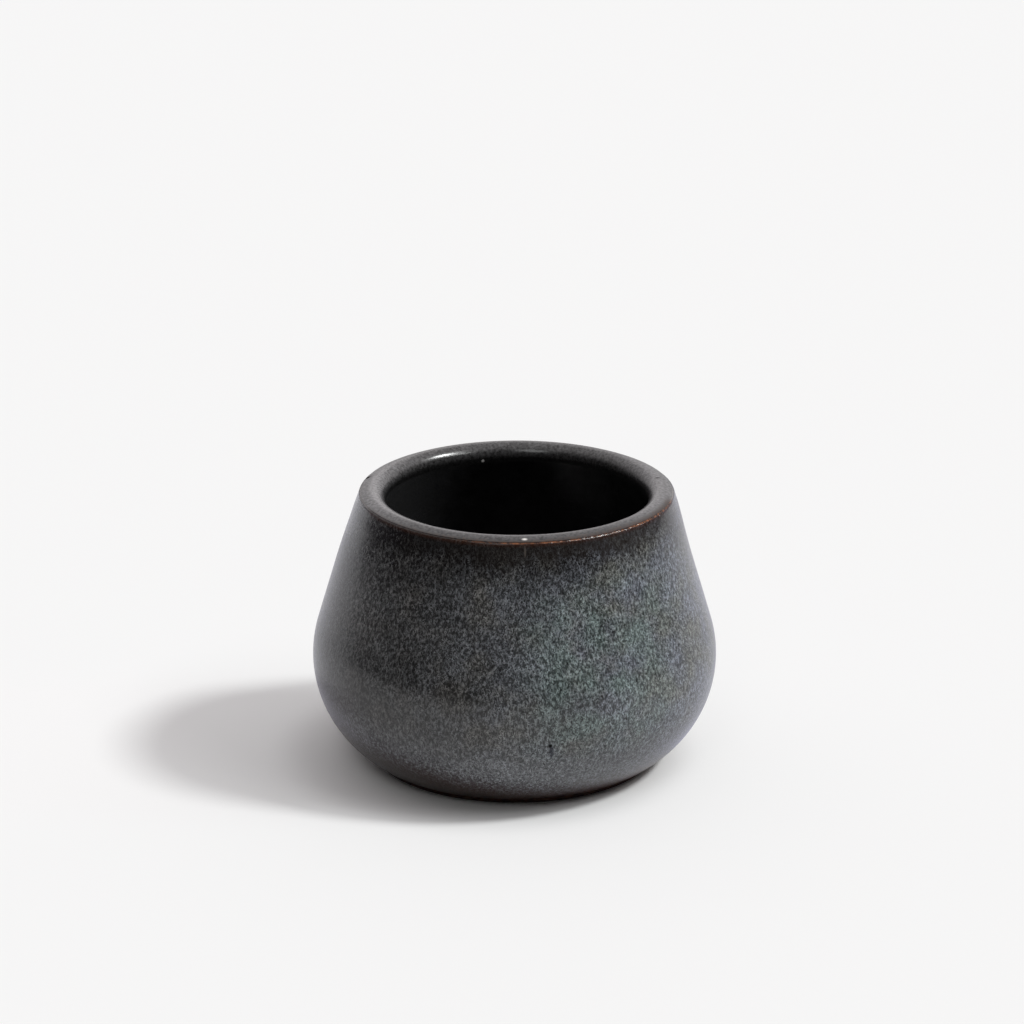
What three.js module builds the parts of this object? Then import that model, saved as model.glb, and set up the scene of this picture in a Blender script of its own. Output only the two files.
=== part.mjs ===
// A small stoneware coffee cup without a handle. The clay body has an even wall, as slip casting
// gives, so the hollow follows the outside: a round belly that runs straight up into a narrower
// mouth. Three fired coats of glaze cover it, on the outside, over the lip and inside. The foot
// ring and a thin strip along the outer edge of the rim stay bare clay.
//
// Millimetres, +Z up. The origin is the middle of the foot, on the surface that the cup stands on.

import * as THREE from "three";

// Clay body
const bellyRadius = 39.55;
const bellyArc = 22.6; // rounding of the belly, seen from the side
const footRadius = 28.4;
const footHeight = 1.3; // bare band between the table and the glaze
const footRingWidth = 4.6;
const footEdgeRound = 0.4;
const footRecess = 1.6; // hollow inside the foot ring
const recessRound = 1;
const rimRadius = 30.75;
const rimHeight = 54.35; // up to the outer edge of the rim
const rimEdgeRound = 0.9;
const bareEdge = 0.4; // width of the bare strip along the middle of that edge
const lipFall = 9; // degrees by which the top of the lip slopes down outwards
const lipRound = 2.3;
const wall = 5;
const floorThickness = 4;
const floorRound = 9; // between the wall and the floor, inside

// Glaze coats, which run down and thicken as they melt
const glazeAtRim = 0.2;
const glazeAtFoot = 0.6;
const glazeOnLip = 0.35;
const linerAtLip = 0.4;
const linerAtFloor = 0.6;
const glazeEdge = 0.1; // where a coat ends on bare clay
const footBead = 1.2; // rolled lower end of the outer coat
const rimThinning = 3.6; // length over which the outer coat thins towards the rim
const lipThinning = 1.5; // the same on the lip

// Fineness of the faces
const turnSegments = 48;
const arcError = 0.05; // furthest that a facet may lie inside its arc
const widestArcStep = 23; // degrees
const taperSteps = 3; // where a coat thins or rolls over

const point = (radius, height) => new THREE.Vector2(radius, height);
const direction = (angle) => new THREE.Vector2(Math.cos(angle), Math.sin(angle));
const radians = THREE.MathUtils.degToRad;
const quarterTurn = Math.PI / 2;

function arcSteps(radius, angle) {
  const errorStep = 2 * Math.acos(1 - arcError / Math.max(radius, arcError));
  return Math.ceil(Math.abs(angle) / Math.min(errorStep, radians(widestArcStep)));
}

// A skin is a list of points on the clay's outline, each with the way that the clay faces there.
// A hollow arc faces its own centre.
function arcSkin(centre, radius, from, to, choice = {}) {
  const { hollow = false, steps = arcSteps(radius, to - from) } = choice;
  const skin = [];
  for (let step = 0; step <= steps; step += 1) {
    const way = direction(THREE.MathUtils.lerp(from, to, step / steps));
    const at = centre.clone().addScaledVector(way, radius);
    skin.push({ at, facing: hollow ? way.negate() : way });
  }
  return skin;
}

function straightSkin(from, to, facing, steps) {
  const skin = [];
  for (let step = 0; step <= steps; step += 1) {
    skin.push({ at: from.clone().lerp(to, step / steps), facing });
  }
  return skin;
}

// Skins that follow on from each other share their end points, which are kept once.
function joinSkins(...skins) {
  return skins.flatMap((skin, index) => (index === 0 ? skin : skin.slice(1)));
}

// The point that lies at two depths under two lines, which cross at a corner and face two ways.
function underBoth(corner, firstFacing, firstDepth, secondFacing, secondDepth) {
  const inward = point(
    secondDepth * firstFacing.y - firstDepth * secondFacing.y,
    firstDepth * secondFacing.x - secondDepth * firstFacing.x,
  );
  return corner.clone().add(inward.divideScalar(firstFacing.cross(secondFacing)));
}

// The belly's arc starts at the top of the foot ring, and the upper wall leaves it as a tangent to
// the outer edge of the rim.
const bellyCentreRadius = bellyRadius - bellyArc;
const footToCentre = footRadius - bellyCentreRadius;
const bellyCentre = point(
  bellyCentreRadius,
  footHeight + Math.sqrt(bellyArc ** 2 - footToCentre ** 2),
);
const footAngle = -Math.acos(footToCentre / bellyArc);
const rimCorner = point(rimRadius, rimHeight);
const toRim = rimCorner.clone().sub(bellyCentre);
const wallAngle = toRim.angle() - Math.acos(bellyArc / toRim.length());
const wallFacing = direction(wallAngle);

const lipAngle = radians(90 - lipFall);
const lipFacing = direction(lipAngle);
const rimEdgeCentre = underBoth(rimCorner, wallFacing, rimEdgeRound, lipFacing, rimEdgeRound);
const lipCentre = underBoth(rimCorner, wallFacing, wall - lipRound, lipFacing, lipRound);

// The outer and the lip coat end on the rim's rounded edge, either side of the bare strip.
const edgeMiddle = (wallAngle + lipAngle) / 2;
const bareHalf = bareEdge / rimEdgeRound / 2;
const outerGlazeEnd = edgeMiddle - bareHalf;
const lipGlazeStart = edgeMiddle + bareHalf;

const innerArc = bellyArc - wall;
const floorTop = footRecess + floorThickness;
const floorRoundRise = floorTop + floorRound - bellyCentre.y;
const floorRoundCentre = point(
  bellyCentre.x + Math.sqrt((innerArc - floorRound) ** 2 - floorRoundRise ** 2),
  floorTop + floorRound,
);

function outsideSkin() {
  const beadAngle = footAngle + footBead / bellyArc;
  const wallStart = bellyCentre.clone().addScaledVector(wallFacing, bellyArc);
  const wallEnd = rimEdgeCentre.clone().addScaledVector(wallFacing, rimEdgeRound);
  const up = wallEnd.clone().sub(wallStart).normalize();
  const thinningStart = wallEnd.clone().addScaledVector(up, -rimThinning);
  return joinSkins(
    arcSkin(bellyCentre, bellyArc, footAngle, beadAngle, { steps: taperSteps }),
    arcSkin(bellyCentre, bellyArc, beadAngle, wallAngle),
    straightSkin(wallStart, thinningStart, wallFacing, 1),
    straightSkin(thinningStart, wallEnd, wallFacing, taperSteps),
    arcSkin(rimEdgeCentre, rimEdgeRound, wallAngle, outerGlazeEnd),
  );
}

function bareEdgeSkin() {
  return arcSkin(rimEdgeCentre, rimEdgeRound, outerGlazeEnd, lipGlazeStart);
}

function lipSkin() {
  const lipStart = rimEdgeCentre.clone().addScaledVector(lipFacing, rimEdgeRound);
  const roundStart = lipCentre.clone().addScaledVector(lipFacing, lipRound);
  return joinSkins(
    arcSkin(rimEdgeCentre, rimEdgeRound, lipGlazeStart, lipAngle),
    straightSkin(lipStart, roundStart, lipFacing, taperSteps),
    arcSkin(lipCentre, lipRound, lipAngle, wallAngle + Math.PI),
  );
}

function insideSkin() {
  const wallInward = wallFacing.clone().negate();
  const wallStart = lipCentre.clone().addScaledVector(wallInward, lipRound);
  const wallEnd = bellyCentre.clone().addScaledVector(wallFacing, innerArc);
  const roundAngle = Math.atan2(
    floorRoundCentre.y - bellyCentre.y,
    floorRoundCentre.x - bellyCentre.x,
  );
  const floorEdge = point(floorRoundCentre.x, floorTop);
  return joinSkins(
    straightSkin(wallStart, wallEnd, wallInward, 1),
    arcSkin(bellyCentre, innerArc, wallAngle, roundAngle, { hollow: true }),
    arcSkin(floorRoundCentre, floorRound, roundAngle, -quarterTurn, { hollow: true }),
    straightSkin(floorEdge, point(0, floorTop), direction(quarterTurn), 1),
  );
}

// From the middle of the recess, under the foot ring and out to where the belly starts.
function footSkin() {
  const ringInside = footRadius - footRingWidth;
  const corner = point(ringInside - recessRound, footRecess - recessRound);
  const innerEdge = point(ringInside + footEdgeRound, footEdgeRound);
  const outerEdge = point(footRadius - footEdgeRound, footEdgeRound);
  return [
    { at: point(0, footRecess) },
    ...arcSkin(corner, recessRound, quarterTurn, 0, { hollow: true }),
    ...arcSkin(innerEdge, footEdgeRound, Math.PI, 3 * quarterTurn),
    ...arcSkin(outerEdge, footEdgeRound, -quarterTurn, 0),
    { at: point(footRadius, footHeight) },
  ];
}

const places = (skin) => skin.map(({ at }) => at);

function turned(name, outline, colour, roughness) {
  const geometry = new THREE.LatheGeometry(outline, turnSegments).rotateX(quarterTurn);
  const material = new THREE.MeshStandardMaterial({ color: colour, roughness, metalness: 0 });
  const mesh = new THREE.Mesh(geometry, material);
  mesh.name = name;
  return mesh;
}

// The free surface of a coat. Its thickness at each point follows from the length of skin before
// and after that point.
function coatSurface(skin, thickness) {
  const lengths = [0];
  for (let index = 1; index < skin.length; index += 1) {
    lengths.push(lengths[index - 1] + skin[index].at.distanceTo(skin[index - 1].at));
  }
  const whole = lengths.at(-1);
  return skin.map(({ at, facing }, index) => {
    const depth = thickness(lengths[index], whole - lengths[index]);
    return at.clone().addScaledVector(facing, depth);
  });
}

const { lerp, smoothstep } = THREE.MathUtils;

// A rounded end, like a drop's: 0 at the edge and 1 after the given run.
function rolledEnd(distance, run) {
  const share = Math.min(distance / run, 1);
  return Math.sqrt(share * (2 - share));
}

function stonewareBody() {
  const outline = joinSkins(footSkin(), outsideSkin(), bareEdgeSkin(), lipSkin(), insideSkin());
  return turned("stoneware_body", places(outline), 0x6b4430, 0.85);
}

function outerGlaze() {
  const skin = outsideSkin();
  const surface = coatSurface(skin, (fromFoot, toRim) => {
    const full = lerp(glazeAtFoot, glazeAtRim, fromFoot / (fromFoot + toRim));
    const ends = Math.min(rolledEnd(fromFoot, footBead), smoothstep(toRim, 0, rimThinning));
    return lerp(glazeEdge, full, ends);
  });
  const outline = [...surface, ...places(skin).reverse(), surface[0]];
  return turned("outer_glaze", outline, 0x55595b, 0.45);
}

function lipGlaze() {
  const skin = lipSkin();
  const surface = coatSurface(skin, (fromEdge, toLiner) => {
    const full = lerp(glazeOnLip, linerAtLip, fromEdge / (fromEdge + toLiner));
    return lerp(glazeEdge, full, smoothstep(fromEdge, 0, lipThinning));
  });
  const outline = [...surface, ...places(skin).reverse(), surface[0]];
  return turned("lip_glaze", outline, 0x5e5d5d, 0.35);
}

function linerGlaze() {
  const skin = insideSkin();
  const surface = coatSurface(skin, (fromLip, toMiddle) => (
    lerp(linerAtLip, linerAtFloor, fromLip / (fromLip + toMiddle))
  ));
  const outline = [...places(skin).reverse(), ...surface];
  return turned("liner_glaze", outline, 0x101010, 0.15);
}

const coffeeCup = new THREE.Group();
coffeeCup.name = "coffee_cup";
coffeeCup.add(stonewareBody(), outerGlaze(), lipGlaze(), linerGlaze());

export default coffeeCup;
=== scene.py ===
"""The looks of a small stoneware coffee cup: a clay body under three coats of glaze.

Each piece is turned from its outline by one Geometry Nodes tree, which also gives all of them the
same slight unevenness of hand work, so the coats stay on the clay. Metres, +Z up, foot at the origin.
"""

import math

import bpy
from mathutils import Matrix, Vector


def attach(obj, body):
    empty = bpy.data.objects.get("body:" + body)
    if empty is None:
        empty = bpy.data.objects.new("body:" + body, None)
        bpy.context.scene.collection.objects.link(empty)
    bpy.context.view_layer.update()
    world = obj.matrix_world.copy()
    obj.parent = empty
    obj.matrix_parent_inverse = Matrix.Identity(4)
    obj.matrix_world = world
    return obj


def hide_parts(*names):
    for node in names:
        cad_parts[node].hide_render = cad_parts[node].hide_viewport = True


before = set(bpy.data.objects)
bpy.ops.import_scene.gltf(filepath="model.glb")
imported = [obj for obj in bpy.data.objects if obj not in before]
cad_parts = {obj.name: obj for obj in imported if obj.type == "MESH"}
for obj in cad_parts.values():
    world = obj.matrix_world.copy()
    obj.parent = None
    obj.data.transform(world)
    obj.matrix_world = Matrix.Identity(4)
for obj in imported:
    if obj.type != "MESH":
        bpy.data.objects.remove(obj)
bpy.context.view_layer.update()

MM = 0.001

# The clay body, with the sizes of the solid model
BELLY_RADIUS = 39.55 * MM
BELLY_ARC = 22.6 * MM
FOOT_RADIUS = 28.4 * MM
FOOT_HEIGHT = 1.3 * MM
FOOT_RING_WIDTH = 4.6 * MM
FOOT_EDGE_ROUND = 0.4 * MM
FOOT_RECESS = 1.6 * MM
RECESS_ROUND = 1.0 * MM
RIM_RADIUS = 30.75 * MM
RIM_HEIGHT = 54.35 * MM
RIM_EDGE_ROUND = 0.9 * MM
BARE_EDGE = 0.4 * MM
LIP_FALL = math.radians(9)
LIP_ROUND = 2.3 * MM
WALL = 5.0 * MM
FLOOR_THICKNESS = 4.0 * MM
FLOOR_ROUND = 9.0 * MM

# The coats of glaze
GLAZE_AT_RIM = 0.2 * MM
GLAZE_AT_FOOT = 0.6 * MM
GLAZE_ON_LIP = 0.35 * MM
LINER_AT_LIP = 0.4 * MM
LINER_AT_FLOOR = 0.6 * MM
GLAZE_EDGE = 0.1 * MM
FOOT_BEAD = 1.2 * MM
RIM_THINNING = 3.6 * MM
LIP_THINNING = 1.5 * MM

# Fineness of the turned surfaces
TURN_SEGMENTS = 360
OUTLINE_STEP = 0.8 * MM
ARC_STEP = math.radians(10)
SEAM_GAP = 0.002 * MM  # points nearer than this are joined where the turn closes
SHARP_CORNER = math.radians(38)


def direction(angle):
    return Vector((math.cos(angle), math.sin(angle)))


def steps_along(length, angle=0.0):
    return max(2, math.ceil(length / OUTLINE_STEP), math.ceil(abs(angle) / ARC_STEP))


# A skin is a list of pairs: a point of the clay's outline, and the way that the clay faces there.
def arc_skin(centre, radius, start, end, hollow=False):
    steps = steps_along(radius * abs(end - start), end - start)
    skin = []
    for step in range(steps + 1):
        way = direction(start + (end - start) * step / steps)
        skin.append((centre + radius * way, -way if hollow else way))
    return skin


def straight_skin(start, end, facing):
    steps = steps_along((end - start).length)
    return [(start.lerp(end, step / steps), facing) for step in range(steps + 1)]


def join_skins(first, *others):
    """One skin of several that share their end points."""
    joined = list(first)
    for skin in others:
        joined += skin[1:]
    return joined


def under_both(corner, first_facing, first_depth, second_facing, second_depth):
    """The point at two depths under two lines that cross at a corner."""
    inward = Vector((
        second_depth * first_facing.y - first_depth * second_facing.y,
        first_depth * second_facing.x - second_depth * first_facing.x,
    ))
    return corner + inward / first_facing.cross(second_facing)


# The belly's arc starts at the top of the foot ring, and the upper wall leaves it as a tangent to the
# rim. The two outer coats end on the rim's rounded edge, either side of a bare strip.
belly_centre_radius = BELLY_RADIUS - BELLY_ARC
foot_to_centre = FOOT_RADIUS - belly_centre_radius
belly_centre = Vector((
    belly_centre_radius,
    FOOT_HEIGHT + math.sqrt(BELLY_ARC**2 - foot_to_centre**2),
))
foot_angle = -math.acos(foot_to_centre / BELLY_ARC)
rim_corner = Vector((RIM_RADIUS, RIM_HEIGHT))
to_rim = rim_corner - belly_centre
wall_angle = math.atan2(to_rim.y, to_rim.x) - math.acos(BELLY_ARC / to_rim.length)
wall_facing = direction(wall_angle)
lip_angle = math.pi / 2 - LIP_FALL
lip_facing = direction(lip_angle)
rim_edge_centre = under_both(rim_corner, wall_facing, RIM_EDGE_ROUND, lip_facing, RIM_EDGE_ROUND)
lip_centre = under_both(rim_corner, wall_facing, WALL - LIP_ROUND, lip_facing, LIP_ROUND)
edge_middle = (wall_angle + lip_angle) / 2
bare_half = BARE_EDGE / RIM_EDGE_ROUND / 2
outer_glaze_end = edge_middle - bare_half
lip_glaze_start = edge_middle + bare_half
inner_arc = BELLY_ARC - WALL
floor_top = FOOT_RECESS + FLOOR_THICKNESS
floor_round_rise = floor_top + FLOOR_ROUND - belly_centre.y
floor_round_centre = Vector((
    belly_centre.x + math.sqrt((inner_arc - FLOOR_ROUND) ** 2 - floor_round_rise**2),
    floor_top + FLOOR_ROUND,
))


def outside_skin():
    wall_start = belly_centre + BELLY_ARC * wall_facing
    wall_end = rim_edge_centre + RIM_EDGE_ROUND * wall_facing
    return join_skins(
        arc_skin(belly_centre, BELLY_ARC, foot_angle, wall_angle),
        straight_skin(wall_start, wall_end, wall_facing),
        arc_skin(rim_edge_centre, RIM_EDGE_ROUND, wall_angle, outer_glaze_end),
    )


def bare_edge_skin():
    return arc_skin(rim_edge_centre, RIM_EDGE_ROUND, outer_glaze_end, lip_glaze_start)


def lip_skin():
    lip_start = rim_edge_centre + RIM_EDGE_ROUND * lip_facing
    round_start = lip_centre + LIP_ROUND * lip_facing
    return join_skins(
        arc_skin(rim_edge_centre, RIM_EDGE_ROUND, lip_glaze_start, lip_angle),
        straight_skin(lip_start, round_start, lip_facing),
        arc_skin(lip_centre, LIP_ROUND, lip_angle, wall_angle + math.pi),
    )


def inside_skin():
    wall_start = lip_centre - LIP_ROUND * wall_facing
    wall_end = belly_centre + inner_arc * wall_facing
    to_round = floor_round_centre - belly_centre
    round_angle = math.atan2(to_round.y, to_round.x)
    floor_edge = Vector((floor_round_centre.x, floor_top))
    return join_skins(
        straight_skin(wall_start, wall_end, -wall_facing),
        arc_skin(belly_centre, inner_arc, wall_angle, round_angle, hollow=True),
        arc_skin(floor_round_centre, FLOOR_ROUND, round_angle, -math.pi / 2, hollow=True),
        straight_skin(floor_edge, Vector((0, floor_top)), Vector((0, 1))),
    )


def foot_skin():
    ring_inside = FOOT_RADIUS - FOOT_RING_WIDTH
    down = Vector((0, -1))
    corner = Vector((ring_inside - RECESS_ROUND, FOOT_RECESS - RECESS_ROUND))
    inner_edge = Vector((ring_inside + FOOT_EDGE_ROUND, FOOT_EDGE_ROUND))
    outer_edge = Vector((FOOT_RADIUS - FOOT_EDGE_ROUND, FOOT_EDGE_ROUND))
    recess_middle = Vector((0, FOOT_RECESS))
    recess_edge = corner + RECESS_ROUND * direction(math.pi / 2)
    ring_flat = inner_edge + FOOT_EDGE_ROUND * down
    ring_flat_end = outer_edge + FOOT_EDGE_ROUND * down
    foot_top = Vector((FOOT_RADIUS, FOOT_HEIGHT))
    return [
        *straight_skin(recess_middle, recess_edge, down)[:-1],
        *arc_skin(corner, RECESS_ROUND, math.pi / 2, 0, hollow=True),
        *arc_skin(inner_edge, FOOT_EDGE_ROUND, math.pi, 1.5 * math.pi)[:-1],
        *straight_skin(ring_flat, ring_flat_end, down)[:-1],
        *arc_skin(outer_edge, FOOT_EDGE_ROUND, -math.pi / 2, 0),
        (foot_top, Vector((1, 0))),
    ]


def smooth_share(value, run):
    """0 at the start of a run and 1 at its end, with a soft start and end."""
    share = min(max(value / run, 0), 1)
    return share * share * (3 - 2 * share)


def rolled_end(distance, run):
    """0 at the edge of a coat and 1 after its run, rounded like the end of a drop."""
    share = min(distance / run, 1)
    return math.sqrt(share * (2 - share))


def mixed(first, second, share):
    return first + (second - first) * share


def places(skin):
    return [at for at, facing in skin]


def coat_surface(skin, thickness):
    """The free face of a coat, whose thickness follows from the skin before and after a point."""
    lengths = [0.0]
    for (before, _), (after, _) in zip(skin, skin[1:]):
        lengths.append(lengths[-1] + (after - before).length)
    whole = lengths[-1]
    return [at + facing * thickness(run, whole - run) for (at, facing), run in zip(skin, lengths)]


def outer_thickness(from_foot, to_rim):
    full = mixed(GLAZE_AT_FOOT, GLAZE_AT_RIM, from_foot / (from_foot + to_rim))
    ends = min(rolled_end(from_foot, FOOT_BEAD), smooth_share(to_rim, RIM_THINNING))
    return mixed(GLAZE_EDGE, full, ends)


def lip_thickness(from_edge, to_liner):
    full = mixed(GLAZE_ON_LIP, LINER_AT_LIP, from_edge / (from_edge + to_liner))
    return mixed(GLAZE_EDGE, full, smooth_share(from_edge, LIP_THINNING))


def liner_thickness(from_lip, to_middle):
    return mixed(LINER_AT_LIP, LINER_AT_FLOOR, from_lip / (from_lip + to_middle))


def clay_outline():
    return places(join_skins(
        foot_skin(), outside_skin(), bare_edge_skin(), lip_skin(), inside_skin(),
    ))


def ring_coat_outline(skin, thickness):
    surface = coat_surface(skin, thickness)
    return [*surface, *reversed(places(skin)), surface[0]]


def liner_outline():
    skin = inside_skin()
    return [*reversed(places(skin)), *coat_surface(skin, liner_thickness)]


def add_node(tree, kind, inputs=None, **settings):
    """Adds a node. An input, by its identifier, takes a value, a socket or a node's first output."""
    node = tree.nodes.new(kind)
    for name, value in settings.items():
        setattr(node, name, value)
    sockets = {socket.identifier: socket for socket in node.inputs}
    for name, value in (inputs or {}).items():
        if isinstance(value, bpy.types.Node):
            value = next(socket for socket in value.outputs if socket.enabled)
        if isinstance(value, bpy.types.NodeSocket):
            tree.links.new(value, sockets[name])
        else:
            sockets[name].default_value = value
    return node


def linear(hex_colour):
    """The linear colour of an sRGB hex value."""
    channels = [int(hex_colour[start:start + 2], 16) / 255 for start in (1, 3, 5)]
    return [*(c / 12.92 if c <= 0.04045 else ((c + 0.055) / 1.055) ** 2.4 for c in channels), 1.0]


# What can be set on the turning tree: the kind of each input and its value
TURNING_INPUTS = {
    "Segments": ("NodeSocketInt", TURN_SEGMENTS),
    "Wobble": ("NodeSocketFloat", 0.12 * MM),
    "Wobble Size": ("NodeSocketFloat", 24 * MM),
    "Wobble Seed": ("NodeSocketFloat", 3.0),
    "Lean": ("NodeSocketFloat", 0.4 * MM),
    "Lean Start": ("NodeSocketFloat", 40 * MM),
    "Lean End": ("NodeSocketFloat", RIM_HEIGHT),
}


def turning_tree():
    """Turns an outline, which is a row of points in the XZ plane, about the Z axis."""
    tree = bpy.data.node_groups.new("turned_by_hand", "GeometryNodeTree")
    tree.interface.new_socket("Outline", in_out="INPUT", socket_type="NodeSocketGeometry")
    for name, (kind, value) in TURNING_INPUTS.items():
        tree.interface.new_socket(name, in_out="INPUT", socket_type=kind).default_value = value
    tree.interface.new_socket("Material", in_out="INPUT", socket_type="NodeSocketMaterial")
    piece = tree.interface.new_socket("Piece", in_out="OUTPUT", socket_type="NodeSocketGeometry")
    given = add_node(tree, "NodeGroupInput").outputs
    place = add_node(tree, "GeometryNodeInputPosition").outputs["Position"]

    # A grid with one column for each turn step and one row for each outline point
    size = add_node(tree, "GeometryNodeAttributeDomainSize", {"Geometry": given["Outline"]})
    rows = size.outputs["Point Count"]
    columns = add_node(
        tree, "FunctionNodeIntegerMath", {"Value": given["Segments"], "Value_001": 1}, operation="ADD"
    )
    grid = add_node(tree, "GeometryNodeMeshGrid", {"Vertices X": columns, "Vertices Y": rows})
    index = add_node(tree, "GeometryNodeInputIndex").outputs[0]
    column = add_node(
        tree, "FunctionNodeIntegerMath", {"Value": index, "Value_001": rows}, operation="DIVIDE"
    )
    row = add_node(
        tree, "FunctionNodeIntegerMath", {"Value": index, "Value_001": rows}, operation="MODULO"
    )
    turn_step = add_node(
        tree, "ShaderNodeMath", {"Value": math.tau, "Value_001": given["Segments"]}, operation="DIVIDE"
    )
    angle = add_node(
        tree, "ShaderNodeMath", {"Value": column, "Value_001": turn_step}, operation="MULTIPLY"
    )
    outline_point = add_node(
        tree,
        "GeometryNodeSampleIndex",
        {"Geometry": given["Outline"], "Value": place, "Index": row},
        data_type="FLOAT_VECTOR",
    )
    turned = add_node(
        tree,
        "ShaderNodeVectorRotate",
        {"Vector": outline_point, "Angle": angle},
        rotation_type="Z_AXIS",
    )
    round_piece = add_node(
        tree, "GeometryNodeSetPosition", {"Geometry": grid.outputs["Mesh"], "Position": turned}
    )
    closed = add_node(
        tree, "GeometryNodeMergeByDistance", {"Geometry": round_piece, "Distance": SEAM_GAP}
    )

    # Unevenness of hand work: the wall swells and shrinks a little
    outward = add_node(
        tree, "ShaderNodeVectorMath", {"Vector": place, "Vector_001": (1, 1, 0)}, operation="MULTIPLY"
    )
    outward_way = add_node(tree, "ShaderNodeVectorMath", {"Vector": outward}, operation="NORMALIZE")
    wobble_scale = add_node(
        tree, "ShaderNodeMath", {"Value": 1.0, "Value_001": given["Wobble Size"]}, operation="DIVIDE"
    )
    wobble = add_node(
        tree,
        "ShaderNodeTexNoise",
        {"Vector": place, "W": given["Wobble Seed"], "Scale": wobble_scale, "Detail": 0.0},
        noise_dimensions="4D",
    )
    swell = add_node(tree, "ShaderNodeMath", {"Value": wobble, "Value_001": -0.5}, operation="ADD")
    swell_length = add_node(
        tree, "ShaderNodeMath", {"Value": swell, "Value_001": given["Wobble"]}, operation="MULTIPLY"
    )
    swelling = add_node(
        tree,
        "ShaderNodeVectorMath",
        {"Vector": outward_way, "Scale": swell_length},
        operation="SCALE",
    )

    # The mouth leans a little towards +X
    height = add_node(tree, "ShaderNodeSeparateXYZ", {"Vector": place}).outputs["Z"]
    lean = add_node(
        tree,
        "ShaderNodeMapRange",
        {
            "Value": height,
            "From Min": given["Lean Start"],
            "From Max": given["Lean End"],
            "To Max": given["Lean"],
        },
        interpolation_type="SMOOTHSTEP",
    )
    leaning = add_node(tree, "ShaderNodeCombineXYZ", {"X": lean})
    unevenness = add_node(
        tree,
        "ShaderNodeVectorMath",
        {"Vector": swelling, "Vector_001": leaning},
        operation="ADD",
    )
    uneven = add_node(tree, "GeometryNodeSetPosition", {"Geometry": closed, "Offset": unevenness})

    # Smooth all over, apart from sharp corners
    smooth = add_node(tree, "GeometryNodeSetShadeSmooth", {"Geometry": uneven})
    corner = add_node(tree, "GeometryNodeInputMeshEdgeAngle")
    is_sharp = add_node(
        tree,
        "FunctionNodeCompare",
        {"A": corner.outputs["Unsigned Angle"], "B": SHARP_CORNER},
        operation="GREATER_THAN",
    )
    creased = add_node(
        tree,
        "GeometryNodeSetShadeSmooth",
        {"Geometry": smooth, "Selection": is_sharp, "Shade Smooth": False},
        domain="EDGE",
    )
    real = add_node(tree, "GeometryNodeRealizeInstances", {"Geometry": creased})
    finished = add_node(
        tree, "GeometryNodeSetMaterial", {"Geometry": real, "Material": given["Material"]}
    )
    add_node(tree, "NodeGroupOutput", {piece.identifier: finished})
    return tree


def turned_piece(name, outline, turning, material, node):
    """A turned piece as a plain mesh, which stands for a node of the solid model."""
    row = bpy.data.meshes.new(name + "_outline")
    points = [(at.x, 0.0, at.y) for at in outline]
    row.from_pydata(points, [(start, start + 1) for start in range(len(points) - 1)], [])
    carrier = bpy.data.objects.new(name + "_outline", row)
    bpy.context.scene.collection.objects.link(carrier)
    modifier = carrier.modifiers.new("turning", "NODES")
    modifier.node_group = turning
    identifiers = {item.name: item.identifier for item in turning.interface.items_tree}
    modifier[identifiers["Material"]] = material
    evaluated = carrier.evaluated_get(bpy.context.evaluated_depsgraph_get())
    mesh = bpy.data.meshes.new_from_object(evaluated)
    mesh.name = name
    bpy.data.objects.remove(carrier)
    bpy.data.meshes.remove(row)
    piece = bpy.data.objects.new(name, mesh)
    bpy.context.scene.collection.objects.link(piece)
    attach(piece, "root")
    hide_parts(node)


# Colours that two layers share
# Pale grey over the rim's edge behind the front: partly the coats run over it, partly painted sheen
COVERED_AND_SHEEN_EDGE = "#797675"
IRON_GROUND = "#0c0a09"
NEAR_BLACK_CLAY = "#1b0f09"

# The shine of the lip's and the liner's glaze where no mark lies on them
FULL_SHINE = 0.5


def new_material(name):
    """A material without a shader yet, its tree, and the place on the object, whole and by axis."""
    material = bpy.data.materials.new(name)
    material.use_nodes = True
    tree = material.node_tree
    tree.nodes.clear()
    place = add_node(tree, "ShaderNodeTexCoord").outputs["Object"]
    axes = add_node(tree, "ShaderNodeSeparateXYZ", {"Vector": place}).outputs
    return material, tree, place, axes


def front_share(tree, axes):
    """1 along the front of the rim, and 0 behind a slanting line, where coats have run over its edge;
    the grey there is partly painted sheen.
    """
    to_back = add_node(
        tree,
        "ShaderNodeMath",
        {"Value": axes["X"], "Value_001": -0.09, "Value_002": axes["Y"]},
        operation="MULTIPLY_ADD",
    )
    return add_node(
        tree,
        "ShaderNodeMapRange",
        {"Value": to_back, "From Min": -6.5 * MM, "From Max": -10.6 * MM},
        interpolation_type="SMOOTHSTEP",
    )


# Small marks that firing left. Each has its middle and half sizes in millimetres, its colour and its
# strength. In the outer coat: a dark run, the pinhole that it comes from, and a pale run below the rim.
OUTER_MARKS = [
    ((7.0, -38.8, 15.0), (0.6, 1.4, 2.3), "#24252f", 0.7),
    ((6.8, -39.2, 16.4), (0.5, 1.4, 0.5), "#020202", 1.0),
    ((1.95, -31.0, 52.6), (0.3, 1.2, 1.6), "#6b645f", 0.4),
]
# A painted glint, a pale speck, lies where the lip coat meets the liner.
PAINTED_GLINT = ((-6.4, 24.95, 52.0), (0.42, 0.5, 0.4), "#c9c7c5", 0.9)
LINER_MARKS = [PAINTED_GLINT]
# The lip coat also has a white drop in front and a black speck on either side.
LIP_MARKS = [
    ((1.85, -29.64, 54.5), (0.85, 0.5, 0.6), "#f0ece8", 1.0),
    ((28.2, 5.5, 54.9), (0.8, 0.5, 0.5), "#0c0b0a", 0.9),
    ((-29.4, 7.0, 54.5), (1.6, 1.2, 1.6), "#040404", 1.0),
    PAINTED_GLINT,
]


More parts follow.
